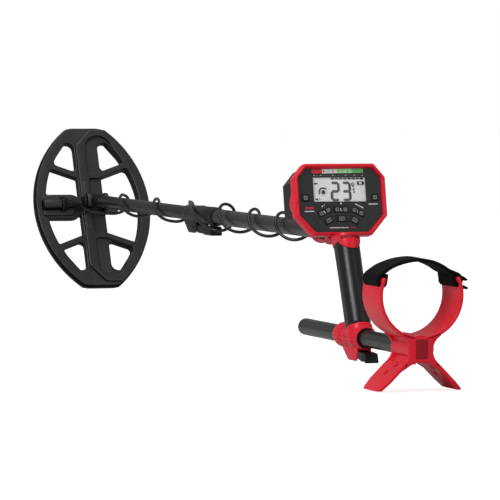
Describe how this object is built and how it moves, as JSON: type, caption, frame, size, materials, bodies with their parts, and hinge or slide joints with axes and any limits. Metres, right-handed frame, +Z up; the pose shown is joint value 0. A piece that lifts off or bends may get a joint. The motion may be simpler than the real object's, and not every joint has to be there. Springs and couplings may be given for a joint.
{
  "type": "metal detector",
  "caption": "Hand-held metal detector: pivoting elliptical search coil, telescoping shaft with cam clamps, raked grip, display pod with keypad, sliding arm cuff.",
  "frame": {"origin": "where the axis of the two front shafts meets the axis of the grip, under the display pod", "axes": "+X along the shaft axis towards the search coil, +Y to the user's left, +Z up and square to the shaft; the arm tube runs parallel to X, 126 mm lower"},
  "size_m": [1.42, 0.178, 0.2829],
  "materials": {
    "coil_black": "moulded, fine texture",
    "skid_black": "moulded, smooth",
    "copper": "lacquered winding",
    "hard_black": "moulded nylon",
    "soft_black": "soft moulded",
    "tube_black": "satin composite tube",
    "bush_white": "smooth acetal",
    "steel": "zinc plated",
    "red_plastic": "semi gloss moulding",
    "grip_black": "soft foam sleeve",
    "webbing": "woven webbing",
    "fascia_black": "satin printed panel",
    "clear": "clear lens",
    "lcd_grey": "reflective display",
    "board_green": "lacquered board",
    "cell_wrap": "printed sleeve",
    "key_black": "soft touch"
  },
  "bodies": {
    "chassis": {"mid_tube": "tube_black", "front_clamp_body": "hard_black", "front_clamp_pin": "steel", "handle_frame": "red_plastic", "grip_sleeve": "grip_black", "frame_screws": "steel", "rear_clamp_body": "red_plastic", "rear_clamp_bush": "hard_black", "rear_clamp_pin": "steel", "pod_bezel": "red_plastic", "pod_rear": "hard_black", "pod_screws": "steel", "fascia": "fascia_black", "lcd_window": "clear", "lcd_module": "lcd_grey", "keypad_sheet": "soft_black", "main_board": "board_green", "speaker": "hard_black", "headphone_socket": "hard_black", "cable_socket": "hard_black", "cable_plug": "hard_black", "coil_cable_rear": "soft_black", "coil_cable_front": "soft_black"},
    "battery_drawer": {"battery_tray": "hard_black", "battery_cells": "cell_wrap", "battery_door": "hard_black"},
    "lower_shaft": {"yoke": "hard_black", "lower_tube": "tube_black", "lower_bush": "bush_white", "coil_lead": "soft_black", "pivot_washers": "soft_black"},
    "coil": {"coil_shell": "coil_black", "coil_skid": "skid_black", "winding_left": "copper", "winding_right": "copper", "cable_gland": "hard_black", "strain_relief": "soft_black", "pivot_bolt": "hard_black"},
    "coil_nut": {"pivot_nut": "hard_black"},
    "front_lever": {"front_clamp_lever": "hard_black"},
    "front_shoe": {"front_clamp_shoe": "soft_black"},
    "rear_lever": {"rear_clamp_lever": "hard_black"},
    "rear_shoe": {"rear_clamp_shoe": "soft_black"},
    "arm": {"arm_tube": "tube_black", "arm_plug_front": "hard_black", "arm_plug_rear": "hard_black", "armrest": "red_plastic", "armrest_screws": "steel", "arm_strap": "webbing"},
    "key_left_body": {"key_left": "key_black"},
    "key_right_body": {"key_right": "key_black"},
    "key_low_left_body": {"key_low_left": "key_black"},
    "key_low_mid_body": {"key_low_mid": "key_black"},
    "key_low_right_body": {"key_low_right": "key_black"},
    "rocker_left_body": {"rocker_left": "key_black"},
    "rocker_mid_body": {"rocker_mid": "key_black"},
    "rocker_right_body": {"rocker_right": "key_black"}
  },
  "joints": [
    {"name": "shaft_slide", "type": "slide", "parent": "chassis", "child": "lower_shaft", "axis": [-1, 0, 0], "range_m": [0, 0.3], "deforming": ["coil_cable_front"]},
    {"name": "coil_tilt", "type": "hinge", "parent": "lower_shaft", "child": "coil", "pos_m": [1.07, 0, 0], "axis": [0, -1, 0], "range_deg": [-66, 104], "deforming": ["coil_lead"]},
    {"name": "nut_turn", "type": "hinge", "parent": "coil", "child": "coil_nut", "pos_m": [1.07, 0.02, 0], "axis": [0, 1, 0], "continuous": true},
    {"name": "front_lever_swing", "type": "hinge", "parent": "chassis", "child": "front_lever", "pos_m": [0.59, 0, -0.0184], "axis": [0, -1, 0], "range_deg": [0, 100]},
    {"name": "front_shoe_slide", "type": "slide", "parent": "chassis", "child": "front_shoe", "axis": [0, 0, -1], "range_m": [0, 0.0006]},
    {"name": "rear_lever_swing", "type": "hinge", "parent": "chassis", "child": "rear_lever", "pos_m": [-0.046, 0, -0.1459], "axis": [0, -1, 0], "range_deg": [0, 100]},
    {"name": "rear_shoe_slide", "type": "slide", "parent": "chassis", "child": "rear_shoe", "axis": [0, 0, -1], "range_m": [0, 0.0006]},
    {"name": "arm_slide", "type": "slide", "parent": "chassis", "child": "arm", "axis": [1, 0, 0], "range_m": [-0.08, 0.085]},
    {"name": "battery_drawer_slide", "type": "slide", "parent": "chassis", "child": "battery_drawer", "axis": [0, -1, 0], "range_m": [0, 0.066]},
    {"name": "key_left_press", "type": "slide", "parent": "chassis", "child": "key_left_body", "axis": [0.9781, 0, -0.2079], "range_m": [0, 0.0008], "stiffness_N_per_m": 1800, "springref_m": -0.0002},
    {"name": "key_right_press", "type": "slide", "parent": "chassis", "child": "key_right_body", "axis": [0.9781, 0, -0.2079], "range_m": [0, 0.0008], "stiffness_N_per_m": 1800, "springref_m": -0.0002},
    {"name": "key_low_left_press", "type": "slide", "parent": "chassis", "child": "key_low_left_body", "axis": [0.9781, 0, -0.2079], "range_m": [0, 0.0008], "stiffness_N_per_m": 1800, "springref_m": -0.0002},
    {"name": "key_low_mid_press", "type": "slide", "parent": "chassis", "child": "key_low_mid_body", "axis": [0.9781, 0, -0.2079], "range_m": [0, 0.0008], "stiffness_N_per_m": 1800, "springref_m": -0.0002},
    {"name": "key_low_right_press", "type": "slide", "parent": "chassis", "child": "key_low_right_body", "axis": [0.9781, 0, -0.2079], "range_m": [0, 0.0008], "stiffness_N_per_m": 1800, "springref_m": -0.0002},
    {"name": "rocker_left_tilt", "type": "hinge", "parent": "chassis", "child": "rocker_left_body", "pos_m": [0.0167, 0.022, 0.02614], "axis": [0.1884, 0.4226, 0.8865], "range_deg": [-3, 3], "stiffness_Nm_per_rad": 0.15},
    {"name": "rocker_mid_tilt", "type": "hinge", "parent": "chassis", "child": "rocker_mid_body", "pos_m": [0.01729, 0, 0.02888], "axis": [0.2079, 0, 0.9781], "range_deg": [-3, 3], "stiffness_Nm_per_rad": 0.15},
    {"name": "rocker_right_tilt", "type": "hinge", "parent": "chassis", "child": "rocker_right_body", "pos_m": [0.0167, -0.022, 0.02614], "axis": [0.1884, -0.4226, 0.8865], "range_deg": [-3, 3], "stiffness_Nm_per_rad": 0.15}
  ],
  "couplings": [
    {"joint": "front_shoe_slide", "follows": "front_lever_swing", "m_per_rad": 0.00031831},
    {"joint": "rear_shoe_slide", "follows": "rear_lever_swing", "m_per_rad": 0.00031831}
  ]
}
